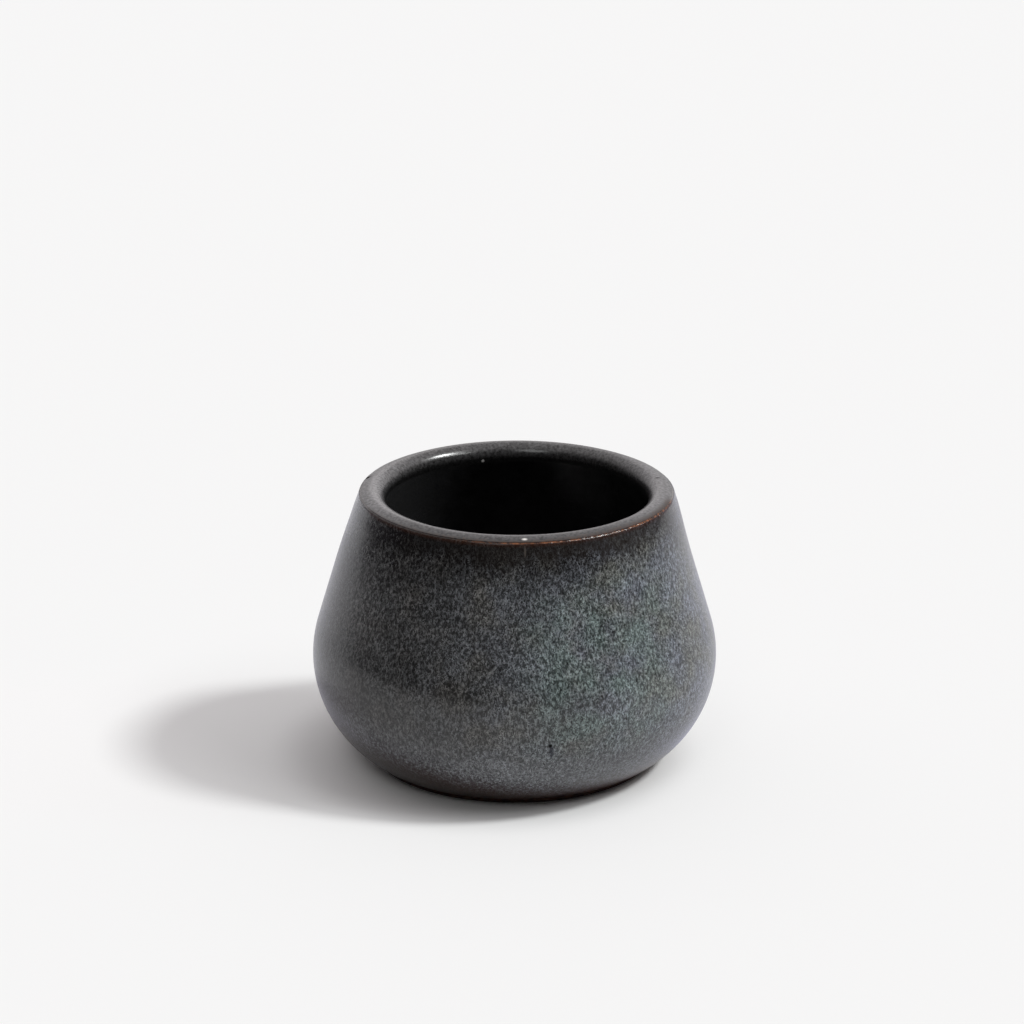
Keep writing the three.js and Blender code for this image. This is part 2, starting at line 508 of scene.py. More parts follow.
def add_marks(tree, colour, place, marks):
    """Lays small dull marks over a colour. Gives the new colour and the share of shine left."""
    shine_left = 1.0
    for middle, half_sizes, mark_colour, strength in marks:
        offset = add_node(
            tree,
            "ShaderNodeVectorMath",
            {"Vector": place, "Vector_001": [value * MM for value in middle]},
            operation="SUBTRACT",
        )
        shares = add_node(
            tree,
            "ShaderNodeVectorMath",
            {"Vector": offset, "Vector_001": [value * MM for value in half_sizes]},
            operation="DIVIDE",
        )
        distance = add_node(tree, "ShaderNodeVectorMath", {"Vector": shares}, operation="LENGTH")
        unmarked = add_node(
            tree,
            "ShaderNodeMapRange",
            {
                "Value": distance.outputs["Value"],
                "From Min": 0.4,
                "From Max": 1.0,
                "To Min": 1.0 - strength,
            },
            interpolation_type="SMOOTHSTEP",
        )
        colour = add_node(
            tree,
            "ShaderNodeMix",
            {"Factor_Float": unmarked, "A_Color": linear(mark_colour), "B_Color": colour},
            data_type="RGBA",
        )
        shine_left = add_node(
            tree, "ShaderNodeMath", {"Value": unmarked, "Value_001": shine_left}, operation="MULTIPLY"
        )
    return colour, shine_left


# Bare stoneware, fired: reddish-brown clay with a fine grit and darker iron spots. It darkens almost
# black towards the foot, which is painted shade, and on the -X side of the rim. The foot is dry and
# matt. The rim's edge has a thin glassy skin, and behind, the grey of the coats lies over it, partly
# painted sheen.
def fired_stoneware():
    material, tree, place, axes = new_material("fired_stoneware")
    grit = add_node(
        tree, "ShaderNodeTexNoise", {"Vector": place, "Scale": 1 / (0.4 * MM), "Detail": 2.0}
    )
    patches = add_node(
        tree, "ShaderNodeTexNoise", {"Vector": place, "Scale": 1 / (1.3 * MM), "Detail": 2.0}
    )
    patch = add_node(tree, "ShaderNodeMapRange", {"Value": patches, "From Min": 0.4, "From Max": 0.6})
    clay = add_node(
        tree,
        "ShaderNodeMix",
        {"Factor_Float": patch, "A_Color": linear("#30160b"), "B_Color": linear("#87512f")},
        data_type="RGBA",
    )
    spot = add_node(tree, "ShaderNodeMapRange", {"Value": grit, "From Min": 0.54, "From Max": 0.64})
    spotted = add_node(
        tree,
        "ShaderNodeMix",
        {"Factor_Float": spot, "A_Color": clay, "B_Color": linear("#27150d")},
        data_type="RGBA",
    )
    at_rim = add_node(
        tree, "ShaderNodeMapRange", {"Value": axes["Z"], "From Min": 40 * MM, "From Max": 50 * MM}
    )
    darker_rim_side = add_node(
        tree,
        "ShaderNodeMapRange",
        {"Value": axes["X"], "From Min": 1 * MM, "From Max": -13 * MM, "To Max": 0.95},
        interpolation_type="SMOOTHSTEP",
    )
    darker_rim_share = add_node(
        tree, "ShaderNodeMath", {"Value": darker_rim_side, "Value_001": at_rim}, operation="MULTIPLY"
    )
    # Painted shade: the clay darkens towards the foot, where the cup's contact shadow falls
    painted_foot_shade = add_node(
        tree,
        "ShaderNodeMapRange",
        {"Value": axes["Z"], "From Min": 30 * MM, "From Max": 5 * MM, "To Max": 0.78},
    )
    darkening_share = add_node(
        tree, "ShaderNodeMath", {"Value": darker_rim_share, "Value_001": painted_foot_shade}, operation="MAXIMUM"
    )
    darkened_clay = add_node(
        tree,
        "ShaderNodeMix",
        {"Factor_Float": darkening_share, "A_Color": spotted, "B_Color": linear(NEAR_BLACK_CLAY)},
        data_type="RGBA",
    )
    behind = add_node(
        tree,
        "ShaderNodeMath",
        {"Value": 1.0, "Value_001": front_share(tree, axes)},
        operation="SUBTRACT",
    )
    covered_and_sheen_share = add_node(
        tree, "ShaderNodeMath", {"Value": behind, "Value_001": at_rim}, operation="MULTIPLY"
    )
    colour = add_node(
        tree,
        "ShaderNodeMix",
        {"Factor_Float": covered_and_sheen_share, "A_Color": darkened_clay, "B_Color": linear(COVERED_AND_SHEEN_EDGE)},
        data_type="RGBA",
    )
    dryness = add_node(
        tree,
        "ShaderNodeMapRange",
        {"Value": axes["Z"], "From Min": 50 * MM, "From Max": 5 * MM, "To Min": 0.16, "To Max": 0.8},
    )
    relief = add_node(tree, "ShaderNodeBump", {"Strength": 1.0, "Distance": 0.12 * MM, "Height": grit})
    shader = add_node(
        tree,
        "ShaderNodeBsdfPrincipled",
        {"Base Color": colour, "Roughness": dryness, "IOR": 1.5, "Normal": relief},
    )
    add_node(tree, "ShaderNodeOutputMaterial", {"Surface": shader})
    return material


def coat_thickness(tree, axes, thick_and_painted_lit_side, pool, clouds):
    """0 where the outer coat is thin and 1 where it is full: thin near the rim, uneven like clouds."""
    thinning = add_node(
        tree,
        "ShaderNodeMapRange",
        {"Value": axes["Z"], "From Min": 42 * MM, "From Max": 51 * MM, "To Max": -0.5},
        interpolation_type="SMOOTHSTEP",
    )
    cloud = add_node(
        tree,
        "ShaderNodeMath",
        {"Value": clouds, "Value_001": 1.1, "Value_002": -0.55},
        operation="MULTIPLY_ADD",
    )
    clouded = add_node(
        tree, "ShaderNodeMath", {"Value": thick_and_painted_lit_side, "Value_001": cloud}, operation="ADD"
    )
    pooled = add_node(
        tree,
        "ShaderNodeMath",
        {"Value": pool, "Value_001": 0.35, "Value_002": clouded},
        operation="MULTIPLY_ADD",
    )
    return add_node(
        tree,
        "ShaderNodeMath",
        {"Value": pooled, "Value_001": thinning},
        operation="ADD",
        use_clamp=True,
    )


def teal_share(tree, place, axes):
    """Patches in a broad stripe down one side of the wall, where the melt turns teal."""
    hues = add_node(
        tree,
        "ShaderNodeTexNoise",
        {"Vector": place, "W": 1.0, "Scale": 1 / (5 * MM), "Detail": 2.0},
        noise_dimensions="4D",
    )
    patch = add_node(tree, "ShaderNodeMapRange", {"Value": hues, "From Min": 0.34, "From Max": 0.64})
    from_stripe = add_node(
        tree, "ShaderNodeMath", {"Value": axes["X"], "Value_001": 16 * MM}, operation="SUBTRACT"
    )
    off_stripe = add_node(tree, "ShaderNodeMath", {"Value": from_stripe}, operation="ABSOLUTE")
    stripe = add_node(
        tree,
        "ShaderNodeMapRange",
        {"Value": off_stripe, "From Min": 19 * MM, "From Max": 6 * MM},
        interpolation_type="SMOOTHSTEP",
    )
    above_pool = add_node(
        tree,
        "ShaderNodeMapRange",
        {"Value": axes["Z"], "From Min": 11 * MM, "From Max": 19 * MM},
        interpolation_type="SMOOTHSTEP",
    )
    below_rim = add_node(
        tree,
        "ShaderNodeMapRange",
        {"Value": axes["Z"], "From Min": 49 * MM, "From Max": 41 * MM},
        interpolation_type="SMOOTHSTEP",
    )
    patched = add_node(
        tree, "ShaderNodeMath", {"Value": patch, "Value_001": stripe}, operation="MULTIPLY"
    )
    height = add_node(
        tree, "ShaderNodeMath", {"Value": above_pool, "Value_001": below_rim}, operation="MULTIPLY"
    )
    return add_node(
        tree, "ShaderNodeMath", {"Value": patched, "Value_001": height}, operation="MULTIPLY"
    )


def melt_colour(tree, place, axes, thick_and_painted_lit_side, pool):
    """Grey with warm patches, which are olive on the thick side, paler in the pool, and partly teal."""
    warmth = add_node(
        tree,
        "ShaderNodeTexNoise",
        {"Vector": place, "W": 7.0, "Scale": 1 / (6 * MM), "Detail": 2.0},
        noise_dimensions="4D",
    )
    warm_share = add_node(
        tree,
        "ShaderNodeMapRange",
        {"Value": warmth, "From Min": 0.42, "From Max": 0.66, "To Max": 0.7},
    )
    # Each melt has one colour on the thin side and one on the thick side, towards the window, where
    # the main grey is paler, partly as painted light
    full_melt, warm_melt, pool_melt = (
        add_node(
            tree,
            "ShaderNodeMix",
            {"Factor_Float": thick_and_painted_lit_side, "A_Color": linear(thin), "B_Color": linear(thick)},
            data_type="RGBA",
        )
        for thin, thick in (("#999b9b", "#a4abb9"), ("#a09a98", "#9fa190"), ("#babdc3", "#868b90"))
    )
    warmed_melt = add_node(
        tree,
        "ShaderNodeMix",
        {"Factor_Float": warm_share, "A_Color": full_melt, "B_Color": warm_melt},
        data_type="RGBA",
    )
    grey_melt = add_node(
        tree,
        "ShaderNodeMix",
        {"Factor_Float": pool, "A_Color": warmed_melt, "B_Color": pool_melt},
        data_type="RGBA",
    )
    return add_node(
        tree,
        "ShaderNodeMix",
        {
            "Factor_Float": teal_share(tree, place, axes),
            "A_Color": grey_melt,
            "B_Color": linear("#a8bbb9"),
        },
        data_type="RGBA",
    )


def pale_flecks(tree, place):
    """A web of short threads, less than 0.4 mm wide, drawn out down the wall and broken up."""
    stretched = add_node(
        tree,
        "ShaderNodeMapping",
        {"Vector": place, "Scale": (1 / (0.37 * MM), 1 / (0.37 * MM), 1 / (0.66 * MM))},
    )
    web = add_node(
        tree,
        "ShaderNodeTexNoise",
        {"Vector": stretched, "Scale": 1.0, "Detail": 3.0, "Roughness": 0.6, "Distortion": 0.4},
    )
    from_thread = add_node(
        tree, "ShaderNodeMath", {"Value": web, "Value_001": 0.5}, operation="SUBTRACT"
    )
    off_thread = add_node(tree, "ShaderNodeMath", {"Value": from_thread}, operation="ABSOLUTE")
    thread = add_node(
        tree, "ShaderNodeMapRange", {"Value": off_thread, "From Min": 0.1, "From Max": 0.0}
    )
    breaks = add_node(
        tree,
        "ShaderNodeTexNoise",
        {"Vector": stretched, "W": 3.0, "Scale": 0.7, "Detail": 3.0, "Roughness": 0.6},
        noise_dimensions="4D",
    )
    strength = add_node(
        tree, "ShaderNodeMapRange", {"Value": breaks, "From Min": 0.37, "From Max": 0.63}
    )
    return add_node(
        tree, "ShaderNodeMath", {"Value": thread, "Value_001": strength}, operation="MULTIPLY"
    )


def flecked_melt(tree, place, fleck, melt, thickness, pool):
    """Pale flecks over a dark iron ground, stronger where the coat is thick, with black pits."""
    melt_share = add_node(
        tree, "ShaderNodeMath", {"Value": thickness, "Value_001": 0.12}, operation="MULTIPLY"
    )
    hazed_share = add_node(
        tree,
        "ShaderNodeMath",
        {"Value": pool, "Value_001": 0.02, "Value_002": melt_share},
        operation="MULTIPLY_ADD",
    )
    ground = add_node(
        tree,
        "ShaderNodeMix",
        {"Factor_Float": hazed_share, "A_Color": linear(IRON_GROUND), "B_Color": melt},
        data_type="RGBA",
    )
    bright_share = add_node(
        tree,
        "ShaderNodeMath",
        {"Value": thickness, "Value_001": 0.89, "Value_002": 0.32},
        operation="MULTIPLY_ADD",
    )
    softened_share = add_node(
        tree,
        "ShaderNodeMath",
        {"Value": pool, "Value_001": -0.06, "Value_002": bright_share},
        operation="MULTIPLY_ADD",
    )
    fleck_colour = add_node(
        tree,
        "ShaderNodeMix",
        {"Factor_Float": softened_share, "A_Color": linear(IRON_GROUND), "B_Color": melt},
        data_type="RGBA",
    )
    flecked = add_node(
        tree,
        "ShaderNodeMix",
        {"Factor_Float": fleck, "A_Color": ground, "B_Color": fleck_colour},
        data_type="RGBA",
    )
    pits = add_node(
        tree,
        "ShaderNodeTexNoise",
        {"Vector": place, "W": 5.0, "Scale": 1 / (0.8 * MM), "Detail": 1.0},
        noise_dimensions="4D",
    )
    pit = add_node(
        tree,
        "ShaderNodeMapRange",
        {"Value": pits, "From Min": 0.63, "From Max": 0.72, "To Max": 0.85},
    )
    return add_node(
        tree,
        "ShaderNodeMix",
        {"Factor_Float": pit, "A_Color": flecked, "B_Color": linear("#060505")},
        data_type="RGBA",
    )


def rim_band(tree, place, axes, clouds, front):
    """The ring below the rim where the coat is thin, with a streaky lower edge. It reaches lower on the
    -X side as painted shade, and is fainter away from the front, partly as painted sheen.
    """
    cloudy_edge = add_node(
        tree,
        "ShaderNodeMath",
        {"Value": clouds, "Value_001": 5 * MM, "Value_002": axes["Z"]},
        operation="MULTIPLY_ADD",
    )
    runs = add_node(
        tree,
        "ShaderNodeMapping",
        {"Vector": place, "Scale": (1 / (1.3 * MM), 1 / (1.3 * MM), 1 / (9 * MM))},
    )
    streaks = add_node(tree, "ShaderNodeTexNoise", {"Vector": runs, "Scale": 1.0, "Detail": 2.0})
    streaky_edge = add_node(
        tree,
        "ShaderNodeMath",
        {"Value": streaks, "Value_001": -5 * MM, "Value_002": cloudy_edge},
        operation="MULTIPLY_ADD",
    )
    # Painted shade: the dark ring reaches lower on the -X side, away from the window
    painted_shade_side = add_node(
        tree,
        "ShaderNodeMapRange",
        {"Value": axes["X"], "From Min": -16 * MM, "From Max": -26 * MM, "To Max": 3 * MM},
        interpolation_type="SMOOTHSTEP",
    )
    lowered_edge = add_node(
        tree, "ShaderNodeMath", {"Value": streaky_edge, "Value_001": painted_shade_side}, operation="ADD"
    )
    # Fainter away from the front, partly painted sheen at glancing angles
    strength = add_node(
        tree, "ShaderNodeMapRange", {"Value": front, "To Min": 0.35, "To Max": 0.76}
    )
    return add_node(
        tree,
        "ShaderNodeMapRange",
        {"Value": lowered_edge, "From Min": 48.2 * MM, "From Max": 52.7 * MM, "To Max": strength},
        interpolation_type="SMOOTHSTEP",
    )


def rim_band_colour(tree, axes, thick_and_painted_lit_side, front):
    """Brown-black, darker on the -X side as partly painted shade, with the very edge brown in front and
    grey behind, partly painted sheen.
    """
    at_edge = add_node(
        tree,
        "ShaderNodeMapRange",
        {"Value": axes["Z"], "From Min": 53.3 * MM, "From Max": 54.2 * MM},
        interpolation_type="SMOOTHSTEP",
    )
    brown_edge = add_node(
        tree, "ShaderNodeMath", {"Value": at_edge, "Value_001": front}, operation="MULTIPLY"
    )
    grey_edge = add_node(
        tree, "ShaderNodeMath", {"Value": at_edge, "Value_001": brown_edge}, operation="SUBTRACT"
    )
    dark_melt = add_node(
        tree,
        "ShaderNodeMix",
        {"Factor_Float": thick_and_painted_lit_side, "A_Color": linear("#080605"), "B_Color": linear("#27221f")},
        data_type="RGBA",
    )
    covered_and_sheen_melt = add_node(
        tree,
        "ShaderNodeMix",
        {"Factor_Float": grey_edge, "A_Color": dark_melt, "B_Color": linear(COVERED_AND_SHEEN_EDGE)},
        data_type="RGBA",
    )
    return add_node(
        tree,
        "ShaderNodeMix",
        {"Factor_Float": brown_edge, "A_Color": covered_and_sheen_melt, "B_Color": linear("#32190b")},
        data_type="RGBA",
    )


def brown_foot_and_painted_shade(tree, axes, fleck):
    """The band above the foot where the coat thins to brown, between flecks, and higher on the -X side,
    which is painted shade.
    """
    flecked_edge = add_node(
        tree,
        "ShaderNodeMath",
        {"Value": fleck, "Value_001": 3.5 * MM, "Value_002": axes["Z"]},
        operation="MULTIPLY_ADD",
    )
    # Painted shade: the brown climbs higher on the -X side, away from the window
    painted_shade_side = add_node(
        tree,
        "ShaderNodeMapRange",
        {"Value": axes["X"], "From Min": 12 * MM, "From Max": -34 * MM, "To Max": 6.5 * MM},
        interpolation_type="SMOOTHSTEP",
    )
    height = add_node(
        tree, "ShaderNodeMath", {"Value": flecked_edge, "Value_001": painted_shade_side}, operation="SUBTRACT"
    )
    return add_node(
        tree,
        "ShaderNodeMapRange",
        {"Value": height, "From Min": 8.6 * MM, "From Max": 1.6 * MM, "To Max": 0.95},
        interpolation_type="SMOOTHSTEP",
    )


# Satin reactive glaze, dipped and fired: short pale flecks float in a dark iron melt and run down the
# wall a little, with black pits between them. It is darker on its thin side, -X, and paler on its thick
# side towards the window, partly as painted light; teal in patches on its thick side, and paler in the
# pool above the foot. It thins to brown-black below the rim and to brown at the foot; on the -X side
# the ring below the rim reaches lower and the brown at the foot higher, as painted shade. A fine haze
# in it scatters some blue at glancing angles.
def reactive_glaze():
    material, tree, place, axes = new_material("satin_reactive_glaze")
    # Thicker and paler towards +X, the window's side: partly a thicker coat, partly painted light
    thick_and_painted_lit_side = add_node(
        tree,
        "ShaderNodeMapRange",
        {"Value": axes["X"], "From Min": -32 * MM, "From Max": 26 * MM, "To Max": 0.95},
    )
    pool = add_node(
        tree,
        "ShaderNodeMapRange",
        {"Value": axes["Z"], "From Min": 20 * MM, "From Max": 9 * MM},
        interpolation_type="SMOOTHSTEP",
    )
    clouds = add_node(
        tree, "ShaderNodeTexNoise", {"Vector": place, "Scale": 1 / (11 * MM), "Detail": 3.0}
    )
    front = front_share(tree, axes)

    thickness = coat_thickness(tree, axes, thick_and_painted_lit_side, pool, clouds)
    melt = melt_colour(tree, place, axes, thick_and_painted_lit_side, pool)
    fleck = pale_flecks(tree, place)
    wall_colour = flecked_melt(tree, place, fleck, melt, thickness, pool)
    band = rim_band(tree, place, axes, clouds, front)
    band_colour = rim_band_colour(tree, axes, thick_and_painted_lit_side, front)
    banded = add_node(
        tree,
        "ShaderNodeMix",
        {"Factor_Float": band, "A_Color": wall_colour, "B_Color": band_colour},
        data_type="RGBA",
    )
    brown_foot_and_shade_band = brown_foot_and_painted_shade(tree, axes, fleck)
    # The brown at the foot is darker on the -X side, away from the window, partly as painted shade
    foot_colour = add_node(
        tree,
        "ShaderNodeMix",
        {"Factor_Float": thick_and_painted_lit_side, "A_Color": linear(NEAR_BLACK_CLAY), "B_Color": linear("#3d1d0b")},
        data_type="RGBA",
    )
    footed = add_node(
        tree,
        "ShaderNodeMix",
        {"Factor_Float": brown_foot_and_shade_band, "A_Color": banded, "B_Color": foot_colour},
        data_type="RGBA",
    )
    colour, shine_left = add_marks(tree, footed, place, OUTER_MARKS)

    # Flecks stand up a little from the melt, and less in the ring below the rim
    standing = add_node(tree, "ShaderNodeMapRange", {"Value": band, "To Min": 1.0, "To Max": 0.3})
    raised = add_node(
        tree, "ShaderNodeMath", {"Value": fleck, "Value_001": standing}, operation="MULTIPLY"
    )
    relief = add_node(
        tree, "ShaderNodeBump", {"Strength": 1.0, "Distance": 0.035 * MM, "Height": raised}
    )
    satin = add_node(tree, "ShaderNodeMapRange", {"Value": raised, "To Min": 0.28, "To Max": 0.42})
    band_gloss = add_node(tree, "ShaderNodeMapRange", {"Value": band, "To Min": 1.0, "To Max": 0.5})
    gloss = add_node(
        tree, "ShaderNodeMath", {"Value": satin, "Value_001": band_gloss}, operation="MULTIPLY"
    )

    # The flecks shine more than the melt, the coat and the sheen fade at the foot, and marks are dull
    weights = {}
    for layer, share, start, end in (
        ("Specular IOR Level", raised, 0.22, 0.6),
        ("Coat Weight", brown_foot_and_shade_band, 0.36, 0.15),
        ("Sheen Weight", brown_foot_and_shade_band, 0.15, 0.0),
    ):
        weight = add_node(tree, "ShaderNodeMapRange", {"Value": share, "To Min": start, "To Max": end})
        weights[layer] = add_node(
            tree, "ShaderNodeMath", {"Value": weight, "Value_001": shine_left}, operation="MULTIPLY"
        )
    shader = add_node(
        tree,
        "ShaderNodeBsdfPrincipled",
        {
            "Base Color": colour,
            "Roughness": gloss,
            "IOR": 1.5,
            "Normal": relief,
            "Coat Roughness": 0.18,
            "Sheen Roughness": 0.33,
            "Sheen Tint": linear("#a4a4ff"),
            **weights,
        },
    )
    add_node(tree, "ShaderNodeOutputMaterial", {"Surface": shader})
    return material


# Satin charcoal glaze, poured: the same melt without flecks, finely mottled, and paler at both sides,
# which is painted sheen. It breaks to brown along its thin front edge, and turns glossier as it runs
# into the cup, where it darkens, partly to the liner's black and partly as painted shade.
def lip_glaze():
    material, tree, place, axes = new_material("satin_charcoal_glaze")
    across = add_node(
        tree, "ShaderNodeVectorMath", {"Vector": place, "Vector_001": (1, 1, 0)}, operation="MULTIPLY"
    )
    from_axis = add_node(tree, "ShaderNodeVectorMath", {"Vector": across}, operation="LENGTH")
    radius = from_axis.outputs["Value"]
    mottle = add_node(
        tree,
        "ShaderNodeTexNoise",
        {"Vector": place, "Scale": 1 / (0.55 * MM), "Detail": 2.0, "Roughness": 0.5},
    )
    mottle_share = add_node(
        tree, "ShaderNodeMapRange", {"Value": mottle, "From Min": 0.3, "From Max": 0.7}
    )
    # Painted sheen: the lip is paler at both sides, where it is seen at a glancing angle
    off_middle = add_node(tree, "ShaderNodeMath", {"Value": axes["X"]}, operation="ABSOLUTE")
    painted_sheen_share = add_node(
        tree,
        "ShaderNodeMapRange",
        {"Value": off_middle, "From Min": 18 * MM, "From Max": 29 * MM},
        interpolation_type="SMOOTHSTEP",
    )
    pale = add_node(
        tree,
        "ShaderNodeMix",
        {"Factor_Float": painted_sheen_share, "A_Color": linear("#5d5c5d"), "B_Color": linear("#7c7b7d")},
        data_type="RGBA",
    )
    dark = add_node(
        tree,
        "ShaderNodeMix",
        {"Factor_Float": painted_sheen_share, "A_Color": linear("#1c1b1b"), "B_Color": linear("#3d3c3d")},
        data_type="RGBA",
    )
    ground = add_node(
        tree,
        "ShaderNodeMix",
        {"Factor_Float": mottle_share, "A_Color": dark, "B_Color": pale},
        data_type="RGBA",
    )
    brown = add_node(
        tree,
        "ShaderNodeMix",
        {"Factor_Float": mottle_share, "A_Color": linear("#170d08"), "B_Color": linear("#43342b")},
        data_type="RGBA",
    )
    mottled_radius = add_node(
        tree,
        "ShaderNodeMath",
        {"Value": mottle, "Value_001": 2 * MM, "Value_002": radius},
        operation="MULTIPLY_ADD",
    )
    outer_edge = add_node(
        tree,
        "ShaderNodeMapRange",
        {"Value": mottled_radius, "From Min": 30.7 * MM, "From Max": 31.7 * MM},
        interpolation_type="SMOOTHSTEP",
    )
    brown_edge = add_node(
        tree,
        "ShaderNodeMath",
        {"Value": outer_edge, "Value_001": front_share(tree, axes)},
        operation="MULTIPLY",
    )
    edged = add_node(
        tree,
        "ShaderNodeMix",
        {"Factor_Float": brown_edge, "A_Color": ground, "B_Color": brown},
        data_type="RGBA",
    )
    # Darker down the inner slope: partly the liner's black, partly painted shade in the cup
    below_top = add_node(
        tree,
        "ShaderNodeMapRange",
        {"Value": axes["Z"], "From Min": 54.6 * MM, "From Max": 52.4 * MM, "To Max": 0.9},
    )
    near_hollow = add_node(
        tree, "ShaderNodeMapRange", {"Value": radius, "From Min": 28 * MM, "From Max": 27 * MM}
    )
    liner_black_and_painted_shade = add_node(
        tree, "ShaderNodeMath", {"Value": below_top, "Value_001": near_hollow}, operation="MULTIPLY"
    )
    darkened = add_node(
        tree,
        "ShaderNodeMix",
        {"Factor_Float": liner_black_and_painted_shade, "A_Color": edged, "B_Color": linear("#0c0c0c")},
        data_type="RGBA",
    )
    colour, shine_left = add_marks(tree, darkened, place, LIP_MARKS)
    shine = add_node(
        tree, "ShaderNodeMath", {"Value": shine_left, "Value_001": FULL_SHINE}, operation="MULTIPLY"
    )
    outward = add_node(
        tree,
        "ShaderNodeMapRange",
        {"Value": radius, "From Min": 27.2 * MM, "From Max": 29.2 * MM},
        interpolation_type="SMOOTHSTEP",
    )
    gloss = add_node(tree, "ShaderNodeMapRange", {"Value": outward, "To Min": 0.23, "To Max": 0.4})
    relief_share = add_node(tree, "ShaderNodeMapRange", {"Value": outward, "To Min": 0.05})
    relief = add_node(
        tree, "ShaderNodeBump", {"Strength": relief_share, "Distance": 0.045 * MM, "Height": mottle}
    )
    shader = add_node(
        tree,
        "ShaderNodeBsdfPrincipled",
        {
            "Base Color": colour,
            "Roughness": gloss,
            "IOR": 1.56,
            "Normal": relief,
            "Specular IOR Level": shine,
        },
    )
    add_node(tree, "ShaderNodeOutputMaterial", {"Surface": shader})
    return material


# Glossy black liner glaze, poured in and out: almost black, with faint cloudiness, and greyer on the
# side whose inner wall faces the window, which is painted light. The lip's grey has run into its upper
# edge.
def liner_glaze():
    material, tree, place, axes = new_material("glossy_black_glaze")
    clouds = add_node(
        tree, "ShaderNodeTexNoise", {"Vector": place, "Scale": 1 / (2.5 * MM), "Detail": 3.0}
    )
    cloud = add_node(tree, "ShaderNodeMapRange", {"Value": clouds, "From Min": 0.3, "From Max": 0.7})
    black = add_node(
        tree,
        "ShaderNodeMix",
        {"Factor_Float": cloud, "A_Color": linear("#0e0e0e"), "B_Color": linear("#1e1e1f")},
        data_type="RGBA",
    )
    # Painted light: greyer on the -X side, whose inner wall faces the window
    painted_window_light = add_node(
        tree,
        "ShaderNodeMapRange",
        {"Value": axes["X"], "From Min": -8 * MM, "From Max": -26 * MM, "To Max": 0.8},
        interpolation_type="SMOOTHSTEP",
    )
    window_lit_black = add_node(
        tree,
        "ShaderNodeMix",
        {"Factor_Float": painted_window_light, "A_Color": black, "B_Color": linear("#3a3a3b")},
        data_type="RGBA",
    )
    run_edge = add_node(
        tree,
        "ShaderNodeMath",
        {"Value": clouds, "Value_001": 1.5 * MM, "Value_002": axes["Z"]},
        operation="MULTIPLY_ADD",
    )
    run = add_node(
        tree,
        "ShaderNodeMapRange",
        {"Value": run_edge, "From Min": 51.6 * MM, "From Max": 53.3 * MM},
        interpolation_type="SMOOTHSTEP",
    )
    run_over = add_node(
        tree,
        "ShaderNodeMix",
        {"Factor_Float": run, "A_Color": window_lit_black, "B_Color": linear("#262525")},
        data_type="RGBA",
    )
    colour, shine_left = add_marks(tree, run_over, place, LINER_MARKS)
    shine = add_node(
        tree, "ShaderNodeMath", {"Value": shine_left, "Value_001": FULL_SHINE}, operation="MULTIPLY"
    )
    relief = add_node(
        tree, "ShaderNodeBump", {"Strength": 1.0, "Distance": 0.05 * MM, "Height": clouds}
    )
    shader = add_node(
        tree,
        "ShaderNodeBsdfPrincipled",
        {
            "Base Color": colour,
            "Roughness": 0.2,
            "IOR": 1.56,
            "Normal": relief,
            "Specular IOR Level": shine,
        },
    )
    add_node(tree, "ShaderNodeOutputMaterial", {"Surface": shader})
    return material


def painted_light_share(tree, place, axes):
    """The share of painted glow in the paper: none at the cup, little in its shadow, most in the light.
    """
    from_shadow = add_node(
        tree,
        "ShaderNodeVectorMath",
        {"Vector": place, "Vector_001": (-6 * MM, -1 * MM, 0)},
        operation="SUBTRACT",
    )
    distance = add_node(tree, "ShaderNodeVectorMath", {"Vector": from_shadow}, operation="LENGTH")
    away = add_node(
        tree,
        "ShaderNodeMapRange",
        {"Value": distance.outputs["Value"], "From Min": 34 * MM, "From Max": 45 * MM},
        interpolation_type="SMOOTHSTEP",
    )
    window_side = add_node(
        tree,
        "ShaderNodeMapRange",
        {"Value": axes["X"], "From Min": -35 * MM, "From Max": -5 * MM},
        interpolation_type="SMOOTHSTEP",
    )
    off_line = add_node(tree, "ShaderNodeMath", {"Value": axes["Y"]}, operation="ABSOLUTE")
    beside = add_node(
        tree,
        "ShaderNodeMapRange",
        {"Value": off_line, "From Min": 26 * MM, "From Max": 46 * MM},
        interpolation_type="SMOOTHSTEP",
    )
    lit = add_node(
        tree, "ShaderNodeMath", {"Value": window_side, "Value_001": beside}, operation="MAXIMUM"
    )
    strength = add_node(tree, "ShaderNodeMapRange", {"Value": lit, "To Min": 0.12, "To Max": 0.6})
    return add_node(
        tree, "ShaderNodeMath", {"Value": away, "Value_001": strength}, operation="MULTIPLY"
    )


# White paper, matt and even. Where it is seen or mirrored it is whitened by a painted glow, most
# where the window lights it, so that it reads as a bright sheet around the cup's shadow. It throws no
# more light on the cup for that.
def white_paper():
    material, tree, place, axes = new_material("white_paper")
    paper = add_node(tree, "ShaderNodeBsdfDiffuse", {"Color": linear("#f0f0f0")})
    white = add_node(tree, "ShaderNodeEmission", {"Color": linear("#f6f6f6"), "Strength": 1.0})
    rays = add_node(tree, "ShaderNodeLightPath").outputs
    seen_or_mirrored = add_node(
        tree,
        "ShaderNodeMath",
        {"Value": rays["Is Camera Ray"], "Value_001": rays["Is Glossy Ray"]},
        operation="MAXIMUM",
    )
    seen = add_node(
        tree,
        "ShaderNodeMath",
        {"Value": seen_or_mirrored, "Value_001": rays["Is Transmission Ray"]},
        operation="MAXIMUM",
    )
    white_share = add_node(
        tree,
        "ShaderNodeMath",
        {"Value": seen, "Value_001": painted_light_share(tree, place, axes)},
        operation="MULTIPLY",
    )
    whitened = add_node(
        tree, "ShaderNodeMixShader", {"Fac": white_share, "Shader": paper, "Shader_001": white}
    )
    add_node(tree, "ShaderNodeOutputMaterial", {"Surface": whitened})
    return material


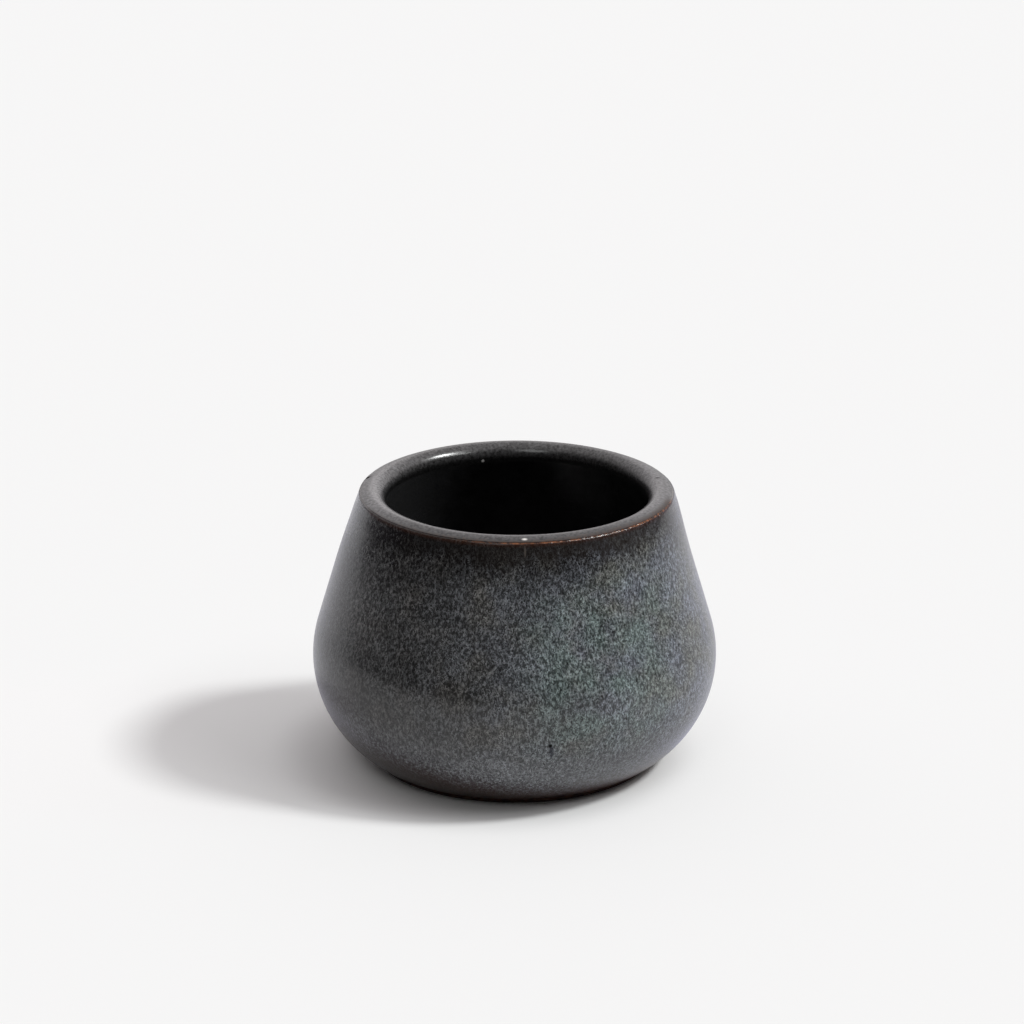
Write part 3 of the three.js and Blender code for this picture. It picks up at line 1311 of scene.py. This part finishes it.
# Pieces
hand_turning = turning_tree()
turned_piece(
    "clay_body", clay_outline(), hand_turning, fired_stoneware(), "stoneware_body"
)
turned_piece(
    "speckled_outer_coat",
    ring_coat_outline(outside_skin(), outer_thickness),
    hand_turning,
    reactive_glaze(),
    "outer_glaze",
)
turned_piece(
    "grey_lip_coat",
    ring_coat_outline(lip_skin(), lip_thickness),
    hand_turning,
    lip_glaze(),
    "lip_glaze",
)
turned_piece(
    "black_liner_coat", liner_outline(), hand_turning, liner_glaze(), "liner_glaze"
)

# Floor
floor_mesh = bpy.data.meshes.new("floor")
floor_mesh.from_pydata(
    [(-1, -1, 0), (1, -1, 0), (1, 2, 0), (-1, 2, 0)], [], [(0, 1, 2, 3)]
)
floor_mesh.materials.append(white_paper())
floor = bpy.data.objects.new("floor", floor_mesh)
bpy.context.scene.collection.objects.link(floor)

# Light: a dim room, bright above and behind the cup, with a glow low behind it
CEILING_WAY = (0.0, 0.55, 0.835)
GLOW_WAY = (0.0, 0.927, 0.375)
world = bpy.data.worlds.new("studio")
bpy.context.scene.world = world
world.use_nodes = True
room = world.node_tree
room.nodes.clear()
way = add_node(room, "ShaderNodeTexCoord").outputs["Generated"]
towards_ceiling = add_node(
    room, "ShaderNodeVectorMath", {"Vector": way, "Vector_001": CEILING_WAY}, operation="DOT_PRODUCT"
)
ceiling = add_node(
    room,
    "ShaderNodeMapRange",
    {
        "Value": towards_ceiling.outputs["Value"],
        "From Min": 0.2,
        "From Max": 0.75,
        "To Min": 0.03,
        "To Max": 0.79,
    },
    interpolation_type="SMOOTHSTEP",
)
towards_glow = add_node(
    room, "ShaderNodeVectorMath", {"Vector": way, "Vector_001": GLOW_WAY}, operation="DOT_PRODUCT"
)
glow = add_node(
    room,
    "ShaderNodeMapRange",
    {"Value": towards_glow.outputs["Value"], "From Min": 0.955, "From Max": 0.99, "To Max": 0.5},
    interpolation_type="SMOOTHSTEP",
)
brightness = add_node(room, "ShaderNodeMath", {"Value": ceiling, "Value_001": glow}, operation="ADD")
sky = add_node(room, "ShaderNodeBackground", {"Color": linear("#fffafb"), "Strength": brightness})
add_node(room, "ShaderNodeOutputWorld", {"Surface": sky})

# Name, strength, width, height above the horizon and turn from +X towards the camera, in degrees
LAMPS = [
    ("window", 1.75, 9, 49, 4),
    ("window_pane", 0.28, 11, 46, 20),
    ("window_edge", 0.11, 8, 45, 34),
    ("far_window", 0.25, 20, 46, 106),
]
for name, energy, width, elevation, turn in LAMPS:
    lamp = bpy.data.lights.new(name, "SUN")
    lamp.energy = energy
    lamp.angle = math.radians(width)
    lamp.color = linear("#fdfffe")[:3]
    rise = math.radians(elevation)
    azimuth = math.radians(turn)
    lamp_way = Vector((
        math.cos(rise) * math.cos(azimuth),
        -math.cos(rise) * math.sin(azimuth),
        math.sin(rise),
    ))
    lamp_object = bpy.data.objects.new(name, lamp)
    lamp_object.rotation_mode = "QUATERNION"
    lamp_object.rotation_quaternion = lamp_way.to_track_quat("Z", "Y")
    bpy.context.scene.collection.objects.link(lamp_object)

# Camera
LOOKS_DOWN = 19.292  # degrees below the horizon
camera = bpy.data.cameras.new("camera")
camera.lens = 142.33
camera.sensor_width = 36
camera.clip_end = 100
camera_object = bpy.data.objects.new("camera", camera)
camera_object.location = (-0.00052, -0.75, 0.31234)
camera_object.rotation_euler = (math.radians(90 - LOOKS_DOWN), 0, 0)
bpy.context.scene.collection.objects.link(camera_object)
bpy.context.scene.camera = camera_object
bpy.context.scene.view_settings.view_transform = "Standard"
